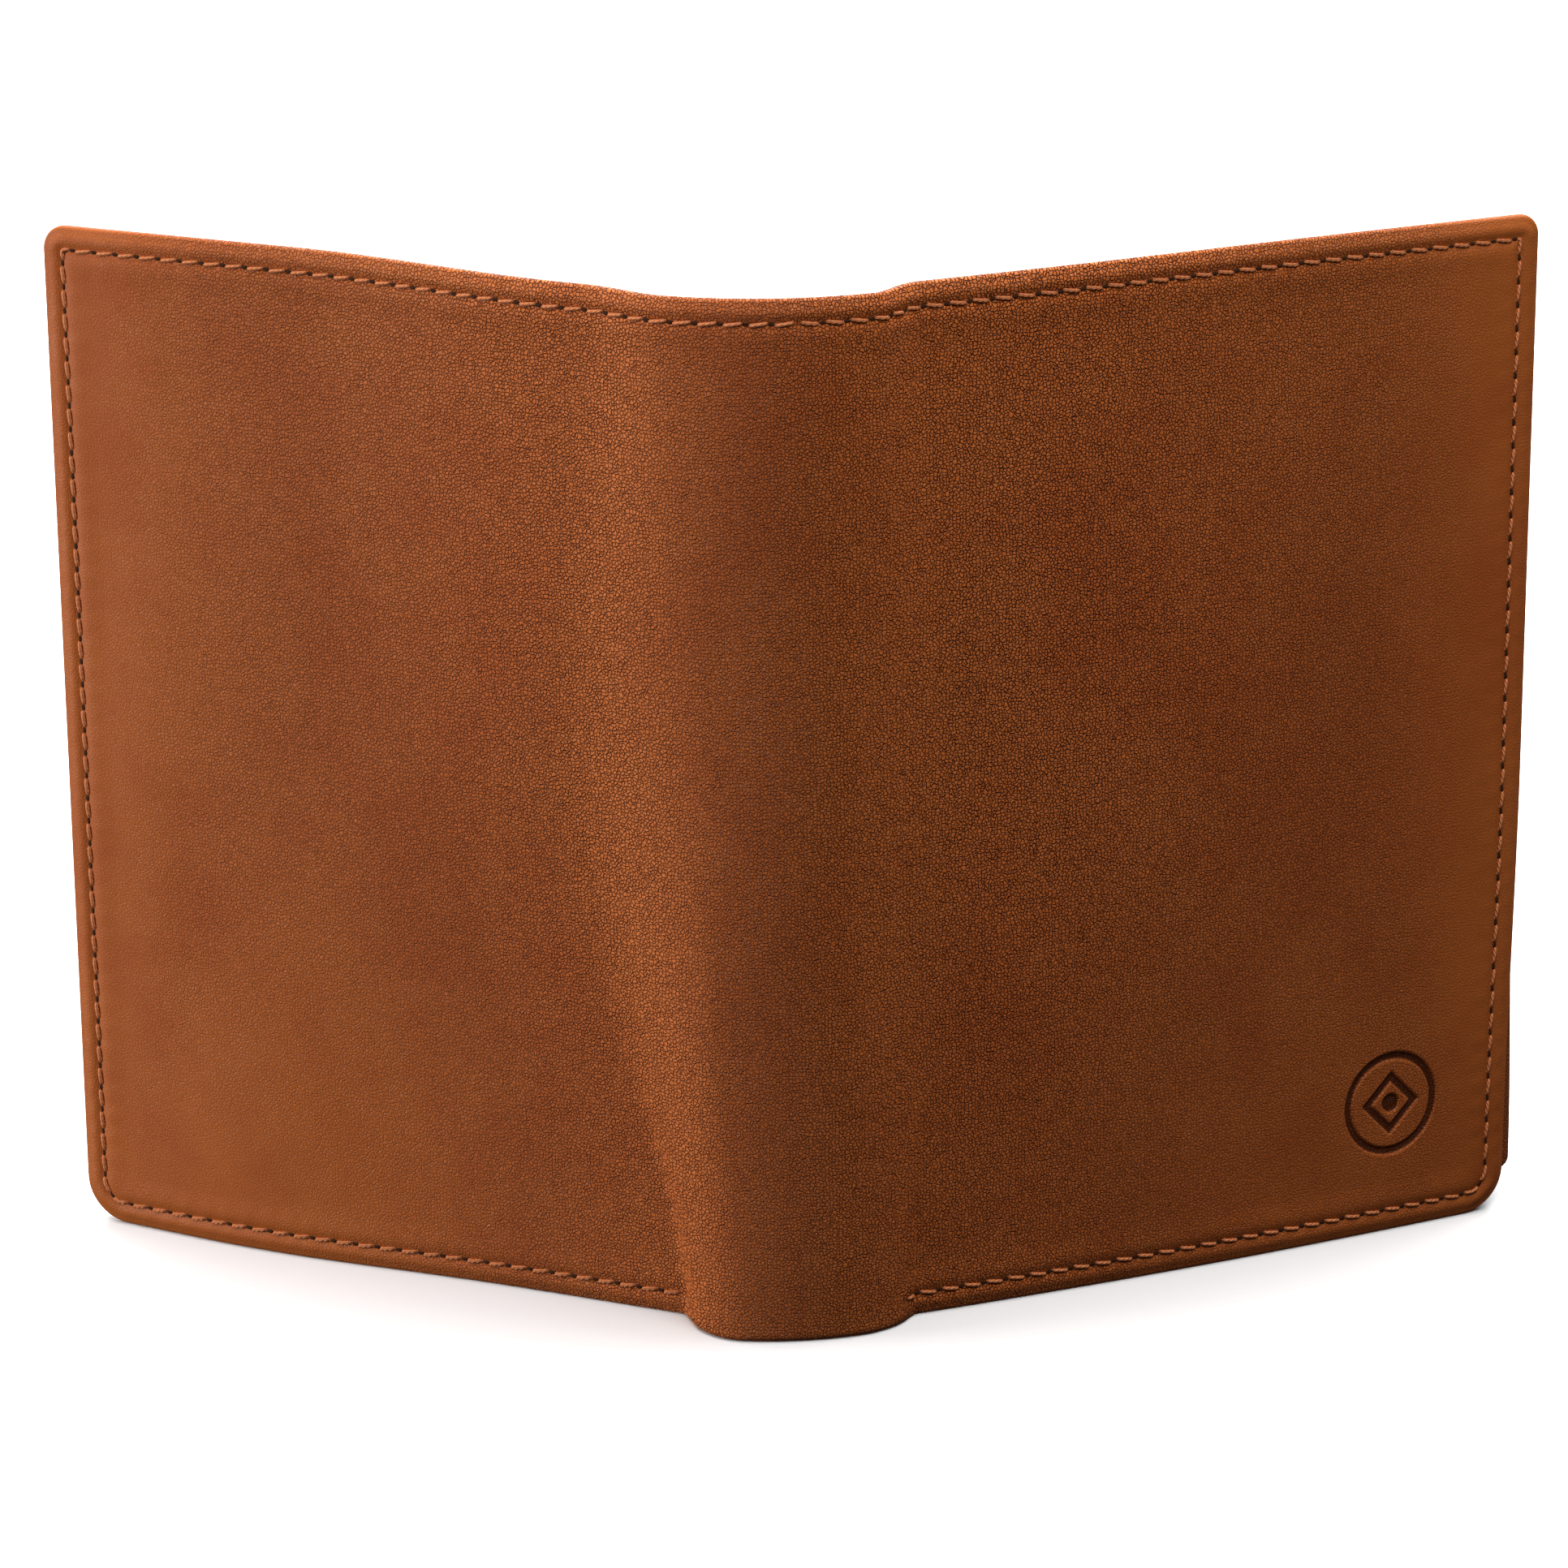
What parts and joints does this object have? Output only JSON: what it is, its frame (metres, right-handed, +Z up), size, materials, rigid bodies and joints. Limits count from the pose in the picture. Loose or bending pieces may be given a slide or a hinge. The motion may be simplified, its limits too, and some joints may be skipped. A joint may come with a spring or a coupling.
{
  "type": "bifold wallet",
  "caption": "Portrait bifold wallet in tan leather with a stitched one-piece cover, banknote compartment, snap coin pocket, card slots and a swinging centre leaf.",
  "frame": {"origin": "middle of the whole object's box, on the surface that it stands on", "axes": "+Z up along the spine, +X towards the right half as seen from the spine side, -Y out of the spine"},
  "size_m": [0.1758, 0.0525, 0.125],
  "materials": {
    "cover_leather": "smooth fine-grained full-grain, semi-matte",
    "inner_leather": "smooth, semi-matte",
    "textile": "fine woven lining",
    "board": "plain bonded board",
    "seam_thread": "twisted polyester thread",
    "clear_film": "clear soft film",
    "snap_metal": "antiqued"
  },
  "bodies": {
    "spine": {"cover_spine": "cover_leather", "lining_spine": "textile", "inner_spine_strip": "inner_leather", "seam_spine_top": "seam_thread"},
    "left_half": {"cover_left": "cover_leather", "stiffener_left": "board", "lining_left": "textile", "inner_panel_left": "inner_leather", "slip_pocket_left": "inner_leather", "coin_pocket_back": "inner_leather", "coin_pocket_gusset": "textile", "seam_left": "seam_thread"},
    "coin_front": {"coin_pocket_front": "inner_leather", "snap_stud": "snap_metal", "snap_rivet": "snap_metal", "coin_pocket_seam": "seam_thread"},
    "coin_flap": {"coin_flap": "inner_leather", "snap_cap": "snap_metal", "snap_socket": "snap_metal", "coin_flap_seam": "seam_thread"},
    "right_half": {"cover_right": "cover_leather", "stiffener_right": "board", "lining_right": "textile", "inner_panel_right": "inner_leather", "slot_lining_right": "textile", "card_slot_right_1": "inner_leather", "card_slot_right_2": "inner_leather", "card_slot_right_3": "inner_leather", "card_slot_seam": "seam_thread", "leaf_hinge_strip": "inner_leather", "seam_right": "seam_thread"},
    "centre_leaf": {"leaf_back": "inner_leather", "leaf_core": "board", "leaf_front": "inner_leather", "id_window": "clear_film", "id_window_frame": "inner_leather", "leaf_seam": "seam_thread"}
  },
  "joints": [
    {"name": "left_fold", "type": "hinge", "parent": "spine", "child": "left_half", "pos_m": [-0.0132, -0.0174, 0], "axis": [0, 0, 1], "range_deg": [-66, 24]},
    {"name": "right_fold", "type": "hinge", "parent": "spine", "child": "right_half", "pos_m": [0.0132, -0.0174, 0], "axis": [0, 0, -1], "range_deg": [-66, 24]},
    {"name": "leaf_swing", "type": "hinge", "parent": "right_half", "child": "centre_leaf", "pos_m": [0.01643, -0.0077, 0], "axis": [0, 0, 1], "range_deg": [0, 120]},
    {"name": "coin_flap_hinge", "type": "hinge", "parent": "left_half", "child": "coin_flap", "pos_m": [-0.05061, 0.00429, 0.0734], "axis": [0.9135, -0.4067, 0], "range_deg": [0, 90]},
    {"name": "coin_pocket_press", "type": "slide", "parent": "left_half", "child": "coin_front", "axis": [0.4067, 0.9135, 0], "range_m": [-0.0045, 0], "stiffness_N_per_m": 20, "deforming": ["coin_pocket_gusset"]}
  ]
}
